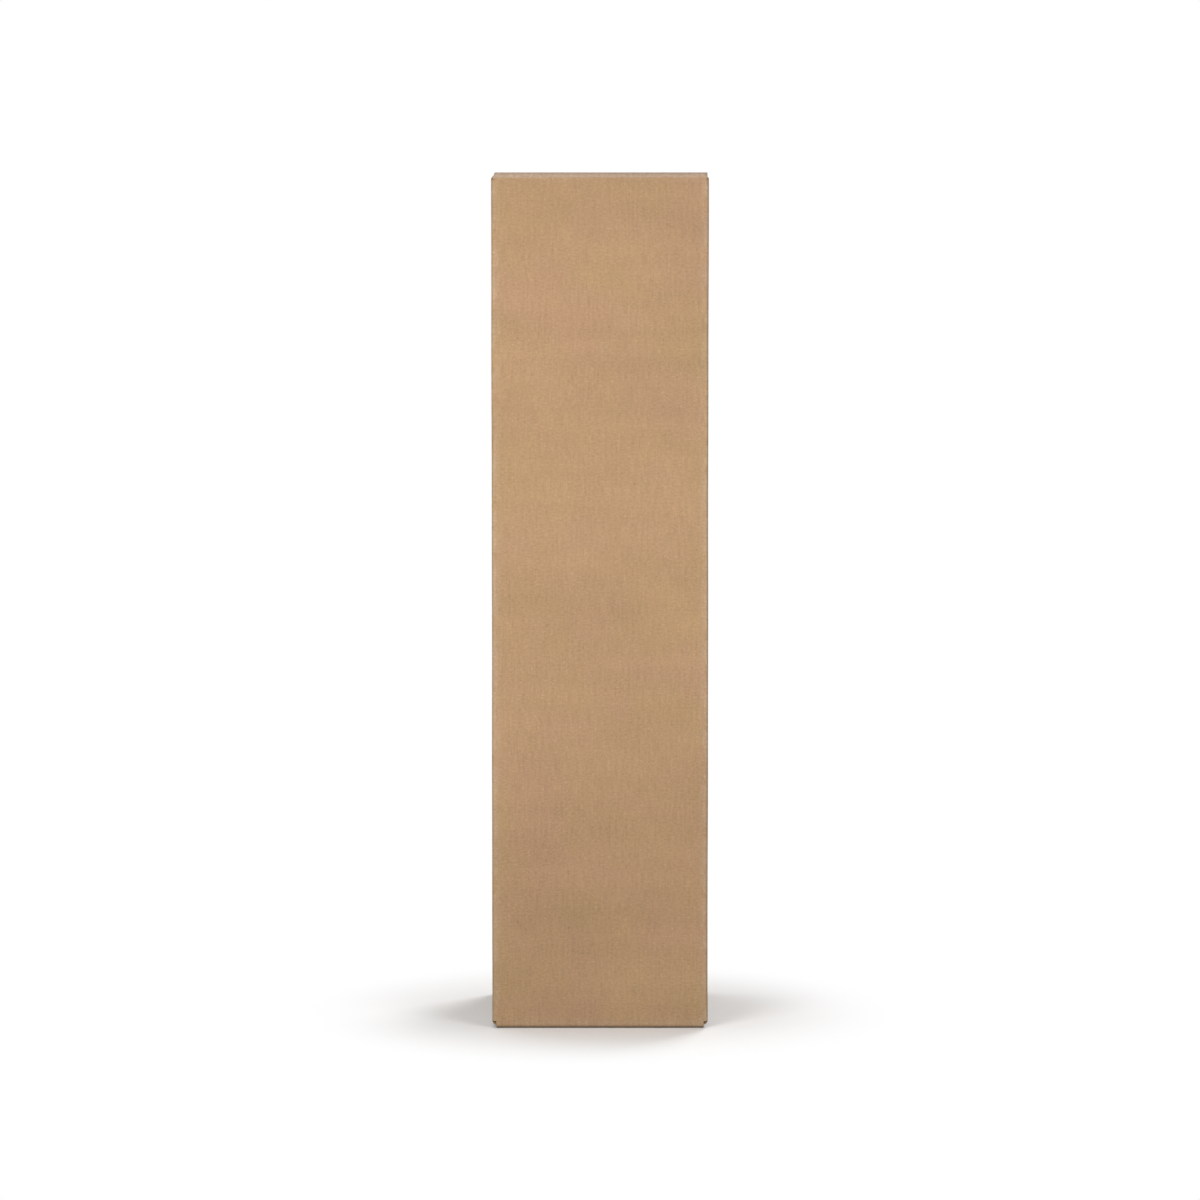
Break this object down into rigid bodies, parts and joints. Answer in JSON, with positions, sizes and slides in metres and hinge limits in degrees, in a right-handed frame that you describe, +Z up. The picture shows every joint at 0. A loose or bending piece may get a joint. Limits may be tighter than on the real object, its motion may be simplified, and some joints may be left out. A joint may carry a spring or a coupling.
{
  "type": "moving box",
  "caption": "Tall square lamp moving box of brown corrugated board, closed at the top by hinged outer flaps and taped shut at the bottom.",
  "frame": {"origin": "on the floor under the middle of the box", "axes": "+Z up, -Y to the front face of the picture, +X to the right as seen from the front"},
  "size_m": [0.3132, 0.3128, 1.236],
  "materials": {
    "kraft_board": "matt brown kraft liner with fine fibres and faint flute lines",
    "kraft_board_inside": "matt brown kraft liner",
    "brown_tape": "glossy brown packing tape"
  },
  "bodies": {
    "carton": {"carton_body": "kraft_board", "inner_flap_left": "kraft_board_inside", "inner_flap_right": "kraft_board_inside", "bottom_tape": "brown_tape"},
    "front_flap": {"outer_flap_front": "kraft_board"},
    "back_flap": {"outer_flap_back": "kraft_board"}
  },
  "joints": [
    {"name": "front_flap_crease", "type": "hinge", "parent": "carton", "child": "front_flap", "pos_m": [0, -0.1544, 1.234], "axis": [1, 0, 0], "range_deg": [0, 175]},
    {"name": "back_flap_crease", "type": "hinge", "parent": "carton", "child": "back_flap", "pos_m": [0, 0.1544, 1.234], "axis": [-1, 0, 0], "range_deg": [0, 175]}
  ]
}
